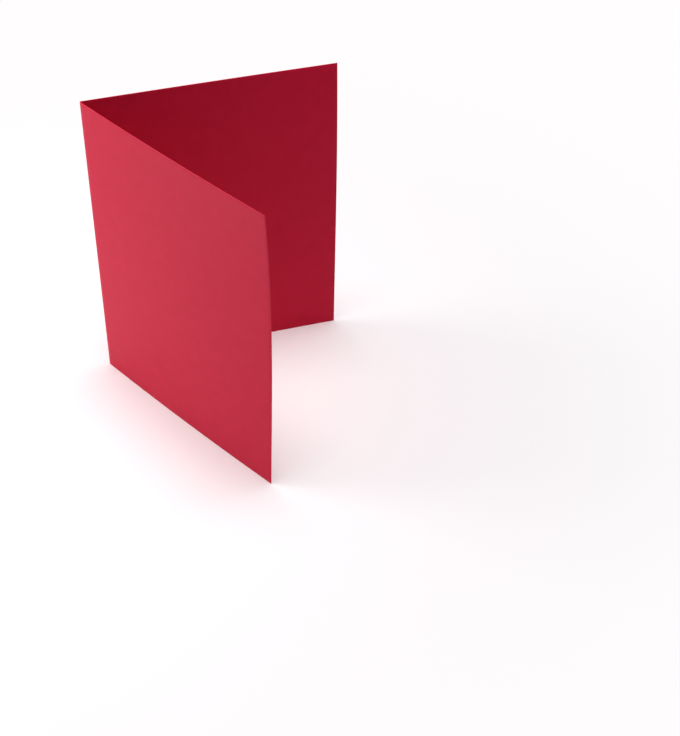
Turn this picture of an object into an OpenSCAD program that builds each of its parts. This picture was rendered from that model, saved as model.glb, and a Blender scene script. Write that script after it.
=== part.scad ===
// Blank folded note card, standing open in a V on its lower cut edge.
// It is one sheet of dyed card stock, cut square, scored down the middle and folded once.
// The fold stands upright on the -X side, the front panel opens towards -Y and the back panel towards +Y.

/* [Sheet] */
// Width of the flat sheet before folding, across the fold
sheet_w = 215.9; // [120:0.1:320]
// Height of the sheet, along the fold
sheet_h = 139.7; // [80:0.1:240]
// Thickness of the card stock
stock_t = 0.3; // [0.2:0.01:0.5]

/* [Fold] */
// Angle between the panels, from the fold to their free corners
opening = 62; // [30:0.5:120]
// Radius on the inside of the fold
fold_r = 0.3; // [0.2:0.05:1]
// Height of the bead that the score raises along the inside of the fold
bead_h = 0.12; // [0:0.01:0.15]

/* [Set of the panels] */
// Outward bow of the front panel, half way across it
front_bow = 0.75; // [0:0.05:3]
// Inward curl of the front panel's free edge, half way up it
front_curl = 1.9; // [0:0.1:5]
// Outward bow of the back panel, half way across it
back_bow = 0.25; // [0:0.05:3]
// Inward curl of the back panel's free edge, half way up it
back_curl = 1.3; // [0:0.1:5]
// Lean of both curls towards the top, where 0 makes them widest half way up and 0.5 six tenths of the way up
curl_lean = 0.5; // [0:0.05:0.9]

/* [Hidden] */

// Facets across each panel, round the fold and up the sheet
panel_steps = 12;
fold_steps = 10;
rise_steps = 14;

// The sheet is drawn this far past its top and bottom edges, and then trimmed square
trim = 1;

// The neutral line runs half way through the stock, and keeps its length in the bend
neutral_r = fold_r + stock_t / 2;
fold_turn = 180 - opening;
fold_arc = neutral_r * fold_turn * PI / 180;
panel_w = (sheet_w - fold_arc) / 2;

// A panel's side is -1 at the front and 1 at the back
front = -1;
back = 1;
function bow(side) = side == front ? front_bow : back_bow;
function curl(side) = side == front ? front_curl : back_curl;

// Directions in plan: from the fold to a panel's free corners, and square to that into the V
function along(side) = [cos(opening / 2), side * sin(opening / 2)];
function inward(side) = [sin(opening / 2), -side * cos(opening / 2)];

// How far a panel lies inside the plane through the fold and its free corners.
// u runs across the panel, 0 at the fold and 1 at the free edge, and v up it, 0 at the foot and 1 at the top.
// The bow is widest half way across. The curl grows from the fold to the free edge, by a share set by v.
function curl_share(v) = 4 * v * (1 - v) * (1 + curl_lean * (2 * v - 1));
function inset(side, u, v) = curl(side) * u * curl_share(v) - 4 * bow(side) * u * (1 - u);
function slope(side, u, v) = (curl(side) * curl_share(v) - 4 * bow(side) * (1 - 2 * u)) / panel_w;

// A station on the neutral line in plan: its place, the inward normal, and the height of the bead there
function panel_station(side, u, v) =
    let (normal = inward(side) - slope(side, u, v) * along(side))
    [
        u * panel_w * along(side) + (inset(side, u, v) - neutral_r) * inward(side),
        normal / norm(normal),
        0
    ];

// k runs round the fold, -1 where the front panel starts and 1 where the back panel starts
function fold_station(k) =
    let (angle = 180 - k * fold_turn / 2, outward = [cos(angle), sin(angle)])
    [neutral_r * outward, -outward, bead_h * pow(cos(90 * k), 2)];

function stations(v) = concat(
    [for (i = [panel_steps : -1 : 1]) panel_station(front, i / panel_steps, v)],
    [for (i = [0 : fold_steps]) fold_station(2 * i / fold_steps - 1)],
    [for (i = [1 : panel_steps]) panel_station(back, i / panel_steps, v)]
);

// The sheet's outline in plan at height v: out along the outer face and home along the inner one
function outer_face(line) = [for (s = line) s[0] - s[1] * stock_t / 2];
function inner_face(line) = [for (s = line) s[0] + s[1] * (stock_t / 2 + s[2])];
function reversed(list) = [for (i = [len(list) - 1 : -1 : 0]) list[i]];
function outline(v) = let (line = stations(v)) concat(outer_face(line), reversed(inner_face(line)));

// Heights of the outlines that the sheet is drawn through
rises = [for (j = [0 : rise_steps]) -trim + j * (sheet_h + 2 * trim) / rise_steps];

// The origin is under the middle of the card's box, which holds every outline from the foot to the top
reach = [for (z = rises) each outline(min(max(z / sheet_h, 0), 1))];
reach_x = [for (p = reach) p.x];
reach_y = [for (p = reach) p.y];
low = [min(reach_x), min(reach_y)];
high = [max(reach_x), max(reach_y)];
centre = (low + high) / 2;

// Joins closed outlines of one length, each in plan with its height, into a solid.
// Each outline goes there along one face and back along the other, so its two ends close as strips.
module loft(outlines, heights) {
    n = len(outlines[0]);
    top = (len(outlines) - 1) * n;
    points = [for (j = [0 : len(outlines) - 1]) for (p = outlines[j]) [p.x, p.y, heights[j]]];
    walls = [
        for (j = [0 : len(outlines) - 2])
            for (i = [0 : n - 1])
                let (a = j * n + i, b = j * n + (i + 1) % n)
                each [[a, b, b + n], [a, b + n, a + n]]
    ];
    foot_strip = [for (i = [0 : n / 2 - 2]) each [[n - 1 - i, n - 2 - i, i + 1], [n - 1 - i, i + 1, i]]];
    top_strip = [for (face = foot_strip) [for (i = reversed(face)) top + i]];
    polyhedron(points, concat(walls, foot_strip, top_strip));
}

// The space between the two guillotine cuts, which leave the foot and the top flat and square
module trimmed_height() {
    margin = [trim, trim];
    size = high - low + 2 * margin;
    corner = low - margin;
    translate([corner.x, corner.y, 0])
        cube([size.x, size.y, sheet_h]);
}

module folded_card() {
    color("#d9143d")
        translate([-centre.x, -centre.y, 0])
            intersection() {
                loft([for (z = rises) outline(z / sheet_h)], rises);
                trimmed_height();
            }
}

folded_card();
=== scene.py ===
# %% [markdown]
# # A blank folded card
# The object is one sheet of dyed card stock. It was cut square, scored down the middle and folded
# once, and it stands on its lower cut edge with its two panels open in a V. There is very little to
# model, so what makes it look real is in small things: the bend at the fold, the way each panel has
# sprung out of flat, the thin cut edge that catches the light, and the tooth of the paper. This
# lesson makes those with one surface formula and one material.

# %% Load the frame
import bpy
import numpy as np
from mathutils import Matrix, Vector


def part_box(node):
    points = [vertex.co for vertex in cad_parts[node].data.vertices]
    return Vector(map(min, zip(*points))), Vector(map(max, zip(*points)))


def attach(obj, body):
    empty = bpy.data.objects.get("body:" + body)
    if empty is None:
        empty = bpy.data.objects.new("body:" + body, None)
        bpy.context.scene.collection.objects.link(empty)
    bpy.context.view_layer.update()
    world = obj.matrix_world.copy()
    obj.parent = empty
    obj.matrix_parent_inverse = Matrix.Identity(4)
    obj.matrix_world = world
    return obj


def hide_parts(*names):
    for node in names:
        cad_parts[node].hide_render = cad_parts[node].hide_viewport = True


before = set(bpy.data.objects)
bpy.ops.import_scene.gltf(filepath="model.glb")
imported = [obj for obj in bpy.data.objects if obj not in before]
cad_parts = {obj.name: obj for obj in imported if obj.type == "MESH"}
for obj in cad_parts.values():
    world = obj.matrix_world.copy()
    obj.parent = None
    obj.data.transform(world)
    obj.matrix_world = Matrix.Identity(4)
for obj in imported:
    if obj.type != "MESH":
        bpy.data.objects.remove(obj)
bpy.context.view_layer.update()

MM = 0.001

# %% [markdown]
# ## The camera
# The picture was taken from in front and above, a little to the right. A camera could be aimed by
# hand with a Track To constraint, but the place and the angles below were solved from the card's
# corners and edges, so they are set as they are. The sensor is fitted to the picture's height,
# which keeps the framing at any size.

# %% Camera
CAMERA_PLACE_MM = (174.14, -489.54, 468.57)
CAMERA_HEADING_DEG = 12.906
CAMERA_TILT_DOWN_DEG = 41.697
CAMERA_ROLL_DEG = 1.024
FOCAL_LENGTH_MM = 74.81
SENSOR_MM = 36.0


def turn(degrees, axis):
    """A rotation by some degrees about one axis."""
    return Matrix.Rotation(np.radians(degrees), 4, axis)


camera = bpy.data.objects.new("camera", bpy.data.cameras.new("camera"))
camera.data.sensor_fit = "VERTICAL"
camera.data.sensor_height = SENSOR_MM
camera.data.sensor_width = SENSOR_MM
camera.data.lens = FOCAL_LENGTH_MM
camera.matrix_world = (
    Matrix.Translation([MM * x for x in CAMERA_PLACE_MM])
    @ turn(CAMERA_HEADING_DEG, "Z")
    @ turn(90 - CAMERA_TILT_DOWN_DEG, "X")
    @ turn(CAMERA_ROLL_DEG, "Z")
)
bpy.context.scene.collection.objects.link(camera)
bpy.context.scene.camera = camera
print("camera at", np.round(camera.location, 3).tolist(), "m")

# %% [markdown]
# ## The sheet as a formula
# A sheet of paper could be folded with a Simple Deform modifier or a cloth simulation, but a
# formula is exact and quick. Every point of the sheet has two flat coordinates: s across it, with 0
# on the fold, and z up it. The formula first rolls the line s round a small bend, so that the
# length along the middle of the stock never changes. Then it pushes each panel out of flat: the
# panel bows outwards half way across, and its free edge curls inwards, most at six tenths of the
# height. A flat panel would look like a plate of plastic.

# %% Sizes of the sheet
SHEET_WIDTH = 215.9 * MM
STOCK = 0.3 * MM
OPENING_DEG = 62.0
FOLD_RADIUS = 0.3 * MM
BOW = {"front": 0.75 * MM, "back": 0.25 * MM}
CURL = {"front": 1.9 * MM, "back": 1.3 * MM}
CURL_LEAN = 0.5

low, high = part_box("folded_card")
sheet_height = high[2] - low[2]
half_stock = STOCK / 2
neutral_radius = FOLD_RADIUS + half_stock
half_bend = neutral_radius * np.radians(180 - OPENING_DEG) / 2
panel_width = SHEET_WIDTH / 2 - half_bend
bend_centre = (low[0] + neutral_radius + half_stock, (low[1] + high[1]) / 2)
print(f"panels {panel_width / MM:.2f} by {sheet_height / MM:.1f} mm")
print(f"bend {2 * half_bend / MM:.2f} mm long")


# %% The folded surface
def folded(s, z, lift):
    """Places points of the sheet: s across it, z up it, and lift outwards from the middle of the stock.

    Round the bend the line s follows a circle of the neutral radius, by the angle s / radius. Past the
    bend it goes straight on. Each panel is then set inwards by curl u c less 4 bow u (1 - u), where u is
    the share of the panel crossed, v the share of the height and c = 4 v (1 - v) (1 + lean (2 v - 1)).
    The lift is square to the set surface, seen from above.
    """
    in_bend = np.clip(s, -half_bend, half_bend)
    angle = in_bend / neutral_radius
    u = np.abs(s - in_bend) / panel_width
    v = z / sheet_height
    bow = np.where(s < 0, BOW["front"], BOW["back"])
    curl = np.where(s < 0, CURL["front"], CURL["back"])
    curl = curl * 4 * v * (1 - v) * (1 + CURL_LEAN * (2 * v - 1))
    inset = curl * u - 4 * bow * u * (1 - u)
    slope = np.sign(s) * (u > 0) * (curl - 4 * bow * (1 - 2 * u)) / panel_width

    along = np.stack([np.sin(angle), np.cos(angle)], axis=-1)
    inward = np.stack([np.cos(angle), -np.sin(angle)], axis=-1)
    normal = inward - slope[..., None] * along
    normal /= np.linalg.norm(normal, axis=-1, keepdims=True)
    plan = (inset - neutral_radius)[..., None] * inward + (s - in_bend)[..., None] * along
    return np.dstack([plan - lift[..., None] * normal + bend_centre, low[2] + z])


FOOT_POINTS = 2001

foot_line = np.linspace(-SHEET_WIDTH / 2, SHEET_WIDTH / 2, FOOT_POINTS)[None]
foot = folded(foot_line, 0 * foot_line, 0 * foot_line)[0]
foot_length = np.linalg.norm(np.diff(foot, axis=0), axis=-1).sum()
print(f"the foot of the sheet measures {foot_length / MM:.2f} mm along the bend and both panels")

# %% [markdown]
# ## From the formula to a closed mesh
# A Solidify modifier could thicken a single surface, but its rim would be a plain square strip.
# Here the two faces are two grids of the same points, lifted to either side of the stock. Near a
# cut the lift follows a tiny quarter circle, and then falls to nothing in the middle of the cut
# face, where both grids share their border points. That closes the mesh, and leaves a cut edge with
# slightly soft corners all the way round.

# %% Grid lines across and up the sheet
CUT_ROUNDING = 0.05 * MM
ROUNDING_STEPS = 4
PANEL_STEPS = 60
BEND_STEPS = 16
RISE_STEPS = 90


def with_cuts(line):
    """Adds the rows of a cut at both ends of a line of places, with each row's share of the full lift.

    Over the rounding, the distance from the cut is r (1 - cos t) and the lift falls short by
    r (1 - sin t), for t from 0 to 90 degrees. The first row is the middle of the cut face, with no lift.
    """
    t = np.linspace(0, np.pi / 2, ROUNDING_STEPS)
    depth = np.concatenate([[0], CUT_ROUNDING * (1 - np.cos(t))])
    cut_share = np.concatenate([[0], 1 - CUT_ROUNDING * (1 - np.sin(t)) / half_stock])
    start, end = line[0], line[-1]
    between = line[(line > start + CUT_ROUNDING) & (line < end - CUT_ROUNDING)]
    places = np.concatenate([start + depth, between, end - depth[::-1]])
    shares = np.concatenate([cut_share, np.ones(len(between)), cut_share[::-1]])
    return places, shares


panel_line = np.linspace(half_bend, SHEET_WIDTH / 2, PANEL_STEPS + 1)
bend_line = np.linspace(-half_bend, half_bend, BEND_STEPS + 1)
across, across_share = with_cuts(np.concatenate([-panel_line[::-1], bend_line[1:-1], panel_line]))
rise, rise_share = with_cuts(np.linspace(0, sheet_height, RISE_STEPS + 1))
print(len(across), "lines across and", len(rise), "up")

# %% [markdown]
# ## The bead of the score
# Before it is folded, the sheet is pressed along a line, so that it bends there and doesn't crack.
# Folded away from that groove, the stock bunches up into a narrow bead on the inside. It could be a
# bump in the material, but it catches the light at the top edge too, so it is a shape: the inner
# face gets a little more lift round the bend.

# %% The two faces
BEAD = 0.12 * MM

s, z = np.meshgrid(across, rise)
lift_share = np.minimum.outer(rise_share, across_share)
bead = BEAD * np.cos(np.pi / 2 * np.clip(s / half_bend, -1, 1)) ** 2
outer_face = folded(s, z, lift_share * half_stock)
inner_face = folded(s, z, -lift_share * (half_stock + bead))
print(f"stock {STOCK / MM:.2f} mm thick, and {(STOCK + bead.max()) / MM:.2f} mm at the bead")

# %% Point numbers of the cells
outer_index = np.arange(s.size).reshape(s.shape)
# Three points of the grid fall together at each corner of the sheet, so they share one number
ends, next_to_ends = [0, -1], [1, -2]
corners = outer_index[np.ix_(ends, ends)]
outer_index[np.ix_(ends, next_to_ends)] = corners
outer_index[np.ix_(next_to_ends, ends)] = corners
inner_index = np.where(lift_share == 0, outer_index, outer_index + s.size)


def cells(index):
    """The four corners of each cell of a grid of point numbers, less the cells shrunk to nothing."""
    round_cell = [index[:-1, :-1], index[:-1, 1:], index[1:, 1:], index[1:, :-1]]
    four = np.stack(round_cell, axis=-1).reshape(-1, 4)
    return four[(four[:, 0] != four[:, 1]) & (four[:, 2] != four[:, 3])]


outer_cells = cells(outer_index)[:, ::-1]
inner_cells = cells(inner_index)
used, faces = np.unique(np.concatenate([outer_cells, inner_cells]), return_inverse=True)
faces = faces.reshape(-1, 4)
points = np.concatenate([outer_face.reshape(-1, 3), inner_face.reshape(-1, 3)])[used]
print(len(points), "points and", len(faces), "faces")

# %% The mesh
sheet_mesh = bpy.data.meshes.new("card_sheet")
sheet_mesh.from_pydata(points, [], faces)
sheet_mesh.polygons.foreach_set("use_smooth", np.ones(len(faces), bool))
sheet_mesh.update()
card_sheet = bpy.data.objects.new("card_sheet", sheet_mesh)
bpy.context.scene.collection.objects.link(card_sheet)
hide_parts("folded_card")
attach(card_sheet, "root")
print("card sheet is closed:", len(points) == len(faces) + 2)

# %% [markdown]
# ## Marks for the material
# Three things about the sheet belong to its shape, so they are written on the mesh for the material
# to read. A UV map unrolls the sheet flat, in metres, so that a pattern can be given its real size.
# The inside is moved to one side on that map, because the two sides of a sheet have different
# fibres. One number marks the cut edges, where the material paints a highlight as though they catch
# the light, and another marks the crease, where the score and the fold have stretched the outside.

# %% Marks
CREASE_WIDTH = 0.9 * MM
CUT_BELOW = 0.9

flat = np.stack([s, z], axis=-1).reshape(-1, 2)
inside_shift = (2 * SHEET_WIDTH, 0)
unrolled = np.concatenate([flat[outer_cells], flat[outer_cells[:, ::-1]] + inside_shift])
sheet_mesh.uv_layers.new(name="flat_sheet").data.foreach_set("uv", unrolled.ravel())

on_cut = np.tile((lift_share < CUT_BELOW).ravel(), 2)[used]
on_crease = np.concatenate([np.exp(-(s / CREASE_WIDTH) ** 2).ravel(), np.zeros(s.size)])[used]
for name, values in (("cut", on_cut), ("crease", on_crease)):
    mark = sheet_mesh.attributes.new(name, "FLOAT", "POINT")
    mark.data.foreach_set("value", values.astype(np.float32))
print(int(on_cut.sum()), "points on the cut edges")

# %% [markdown]
# ## Helpers for node trees
# Colours are written as sRGB hex, as a paint program shows them, and the shader needs them linear.
# One helper adds any node: it sets what it is given, and links a socket wherever the value is
# another node's output. Nodes could be wired by hand in the Shader Editor, but a script shows every
# value in one place.

# %% Helpers
def linear(hex_colour):
    """An sRGB hex colour as linear red, green, blue and full opacity."""
    c = np.array([int(hex_colour[i:i + 2], 16) for i in (1, 3, 5)]) / 255
    return (*np.where(c <= 0.04045, c / 12.92, ((c + 0.055) / 1.055) ** 2.4), 1.0)


def add_node(tree, kind, inputs=None, **settings):
    """Adds a node with its settings, and puts values or other nodes' outputs on its inputs."""
    made = tree.nodes.new(kind)
    for name, value in settings.items():
        setattr(made, name, value)
    for name, value in (inputs or {}).items():
        if isinstance(value, bpy.types.NodeSocket):
            tree.links.new(value, made.inputs[name])
        else:
            made.inputs[name].default_value = value
    return made


def empty_tree(owner):
    """The node tree of a material or world, with nothing in it."""
    owner.use_nodes = True
    owner.node_tree.nodes.clear()
    return owner.node_tree


print("half of white in sRGB is", round(linear("#808080")[0], 3), "in linear light")

# %% [markdown]
# ## Card stock
# The stock is dyed in the pulp, so the colour goes right through and no white shows at the edges.
# It has no coating, so its light comes back from among the fibres, which makes it matt and deep in
# colour. A coated card would need a clear film over it, and here a weak, blurred shine is enough.
# At a low angle that shine is white, as on any surface, and it lays a haze over the front panel.
# Seen squarely it is tinted red, with Specular Tint: a white one would also lay a haze over the
# inside of the V, which is a deep, clear red in the picture. Patterns break up the flat colour:
# clouds of thicker and thinner pulp, which paper makers call formation, and the fibres themselves,
# which lie along the fold.

# %% Patterns of the stock
FORMATION = 7 * MM
# A real fibre is about 0.03 mm by 1.5 mm, finer than a pixel, so it is drawn ten times as wide
FIBRE_WIDTH = 0.3 * MM
FIBRE_LENGTH = 1.5 * MM

card_stock = bpy.data.materials.new("dyed_uncoated_card_stock")
tree = empty_tree(card_stock)
place = add_node(tree, "ShaderNodeUVMap", uv_map="flat_sheet").outputs["UV"]
clouds = add_node(tree, "ShaderNodeTexNoise", {
    "Vector": place, "Scale": 1 / FORMATION, "Detail": 4.0, "Roughness": 0.6,
}, noise_dimensions="2D").outputs["Fac"]
fibre_place = add_node(tree, "ShaderNodeMapping", {
    "Vector": place, "Scale": (1 / FIBRE_WIDTH, 1 / FIBRE_LENGTH, 1),
}).outputs["Vector"]
fibres = add_node(tree, "ShaderNodeTexNoise", {
    "Vector": fibre_place, "Scale": 1.0, "Detail": 2.0,
}, noise_dimensions="2D").outputs["Fac"]
clouds_up, fibres_up = sheet_height / FORMATION, sheet_height / FIBRE_LENGTH
print(f"{clouds_up:.0f} clouds and {fibres_up:.0f} fibres up the sheet")

# %% [markdown]
# ## Colour of the stock
# The clouds go between two close reds, a deeper one where the pulp is thick and a lighter one where
# it is thin. Paler layers lie over that, each by its own pattern and never by much: the fibres on
# top, the crease, where the stretched outside shows a little undyed fibre, and the cut edges, paler
# with their fibre ends and with a painted highlight where the thin edge catches the light. The
# colours could be painted on an image, but patterns from nodes stay sharp close up.

# %% Colour
DEEP_DYE, LIGHT_DYE = "#d3183c", "#de1f45"
# A Mix node has sockets of the same names for each kind of data, so its colour ones go by number
MIX_SHARE, MIX_UNDER, MIX_OVER, MIX_RESULT = 0, 6, 7, 2

cut = add_node(tree, "ShaderNodeAttribute", attribute_name="cut").outputs["Fac"]
crease = add_node(tree, "ShaderNodeAttribute", attribute_name="crease").outputs["Fac"]
colour = add_node(tree, "ShaderNodeMix", {
    MIX_SHARE: clouds, MIX_UNDER: linear(DEEP_DYE), MIX_OVER: linear(LIGHT_DYE),
}, data_type="RGBA").outputs[MIX_RESULT]
paler_layers = (
    (fibres, 0.08, "#fa2c5c"),
    (crease, 0.12, "#f2848f"),
    # The cut edges are painted paler: a painted highlight where the thin edge catches the light, with
    # the fibre ends
    (cut, 0.1, "#f58c98"),
)
for pattern, most, paler in paler_layers:
    layer_share = add_node(tree, "ShaderNodeMath", {
        0: pattern, 1: most,
    }, operation="MULTIPLY").outputs[0]
    colour = add_node(tree, "ShaderNodeMix", {
        MIX_SHARE: layer_share, MIX_UNDER: colour, MIX_OVER: linear(paler),
    }, data_type="RGBA").outputs[MIX_RESULT]
print("colour from", len(tree.nodes), "nodes")

# %% [markdown]
# ## Finish of the stock
# A fingertip feels the tooth of uncoated stock: its fibres stand up by a few thousandths of a
# millimetre. Bump gives that, because it is far too fine to model. The same fibres make the shine
# uneven, so they also move the roughness. The shine itself is that of cellulose, which bends light
# about as much as glass does.

# %% Finish
TOOTH = 0.008 * MM
SMOOTHEST, ROUGHEST = 0.44, 0.58
CELLULOSE_IOR = 1.5
RED_SHINE = "#ff1e32"

tooth = add_node(tree, "ShaderNodeBump", {
    "Height": fibres, "Distance": TOOTH, "Strength": 1.0,
}).outputs["Normal"]
roughness = add_node(tree, "ShaderNodeMapRange", {
    "Value": fibres, "To Min": SMOOTHEST, "To Max": ROUGHEST,
}).outputs["Result"]
surface = add_node(tree, "ShaderNodeBsdfPrincipled", {
    "Base Color": colour,
    "Roughness": roughness,
    "IOR": CELLULOSE_IOR,
    "Specular Tint": linear(RED_SHINE),
    "Normal": tooth,
})
add_node(tree, "ShaderNodeOutputMaterial", {"Surface": surface.outputs["BSDF"]})
sheet_mesh.materials.append(card_stock)
print(card_stock.name, "has", len(tree.nodes), "nodes")

# %% [markdown]
# ## The floor
# The card stands on white studio paper that was lit until it washed out. Paper lit that strongly
# would also throw far too much light back at the card, so the floor is a plain pale grey for the
# light, and a paler shade that comes out white for the camera and in reflections. A glow could lift
# it too, but it would wash out the card's shadow and the red light that the card throws on the
# paper. Away from the card the paper goes over into plain white, so that it has no end in any view.

# %% Floor
FLOOR_SIZE = 4.0

half = FLOOR_SIZE / 2
floor_mesh = bpy.data.meshes.new("floor")
floor_corners = [(-half, -half, 0), (half, -half, 0), (half, half, 0), (-half, half, 0)]
floor_mesh.from_pydata(floor_corners, [], [(0, 1, 2, 3)])
floor = bpy.data.objects.new("floor", floor_mesh)
bpy.context.scene.collection.objects.link(floor)
print("floor", FLOOR_SIZE, "m wide")

# %% Studio paper
PAPER_LIT, PAPER_SEEN, PAPER_FAR = "#dedcdd", "#fbf8fa", "#fffdfe"
FADE_FROM, FADE_TO = 0.08, 0.3


def seen_rays(tree):
    """1 for rays that carry a picture: from the camera, off a shiny surface or through a clear one."""
    path = add_node(tree, "ShaderNodeLightPath").outputs
    seen_or_mirrored = add_node(tree, "ShaderNodeMath", {
        0: path["Is Camera Ray"], 1: path["Is Glossy Ray"],
    }, operation="MAXIMUM").outputs[0]
    return add_node(tree, "ShaderNodeMath", {
        0: seen_or_mirrored, 1: path["Is Transmission Ray"],
    }, operation="MAXIMUM").outputs[0]


studio_paper = bpy.data.materials.new("washed_out_studio_paper")
tree = empty_tree(studio_paper)
seen = seen_rays(tree)
paper_colour = add_node(tree, "ShaderNodeMix", {
    MIX_SHARE: seen, MIX_UNDER: linear(PAPER_LIT), MIX_OVER: linear(PAPER_SEEN),
}, data_type="RGBA").outputs[MIX_RESULT]
matt = add_node(tree, "ShaderNodeBsdfDiffuse", {"Color": paper_colour})
from_centre = add_node(tree, "ShaderNodeTexCoord").outputs["Object"]
distance = add_node(tree, "ShaderNodeVectorMath", {
    0: from_centre,
}, operation="LENGTH").outputs["Value"]
far = add_node(tree, "ShaderNodeMapRange", {
    "Value": distance, "From Min": FADE_FROM, "From Max": FADE_TO, "To Max": seen,
}, interpolation_type="SMOOTHSTEP").outputs["Result"]
white = add_node(tree, "ShaderNodeEmission", {"Color": linear(PAPER_FAR), "Strength": 1.0})
faded = add_node(tree, "ShaderNodeMixShader", {0: far, 1: matt.outputs[0], 2: white.outputs[0]})
add_node(tree, "ShaderNodeOutputMaterial", {"Surface": faded.outputs[0]})
floor_mesh.materials.append(studio_paper)
print("the floor is white from", FADE_TO, "m out")

# %% [markdown]
# ## The light
# The outside of the front panel is the bright side and the inside of the V is dark, so the light
# comes from above and from the left. A big lamp overhead lights everything. A smaller one stands
# near the card on the left, and because it is near, its light falls off across the panel. Point
# lamps would give hard shadows, and these are wide areas, as softboxes are. The room adds a little
# from all round, and is white where it is seen.

# %% Lamps
card_middle = Vector((0, 0, sheet_height / 2))


def softbox(name, place, size, power):
    """A square lamp aimed at the middle of the card: place and size in metres, power in watts."""
    lamp = bpy.data.objects.new(name, bpy.data.lights.new(name, "AREA"))
    lamp.data.size = size
    lamp.data.energy = power
    lamp.location = place
    lamp.rotation_euler = (Vector(place) - card_middle).to_track_quat("Z", "Y").to_euler()
    bpy.context.scene.collection.objects.link(lamp)
    print(name, "lamp of", power, "W")


softbox("overhead", place=(0.05, 0, 2.5), size=1.3, power=60)
softbox("left", place=(-0.34, -0.07, 0.19), size=0.22, power=0.66)

# %% Room
ROOM_FILL = 0.04

room = bpy.data.worlds.new("studio")
bpy.context.scene.world = room
tree = empty_tree(room)
room_white = linear("#ffffff")
fill = add_node(tree, "ShaderNodeBackground", {"Color": room_white, "Strength": ROOM_FILL})
white = add_node(tree, "ShaderNodeBackground", {"Color": room_white, "Strength": 1.0})
both = add_node(tree, "ShaderNodeMixShader", {
    0: seen_rays(tree), 1: fill.outputs[0], 2: white.outputs[0],
})
add_node(tree, "ShaderNodeOutputWorld", {"Surface": both.outputs[0]})
bpy.context.scene.view_settings.view_transform = "Standard"
print("room light at", ROOM_FILL, "and white where it is seen")
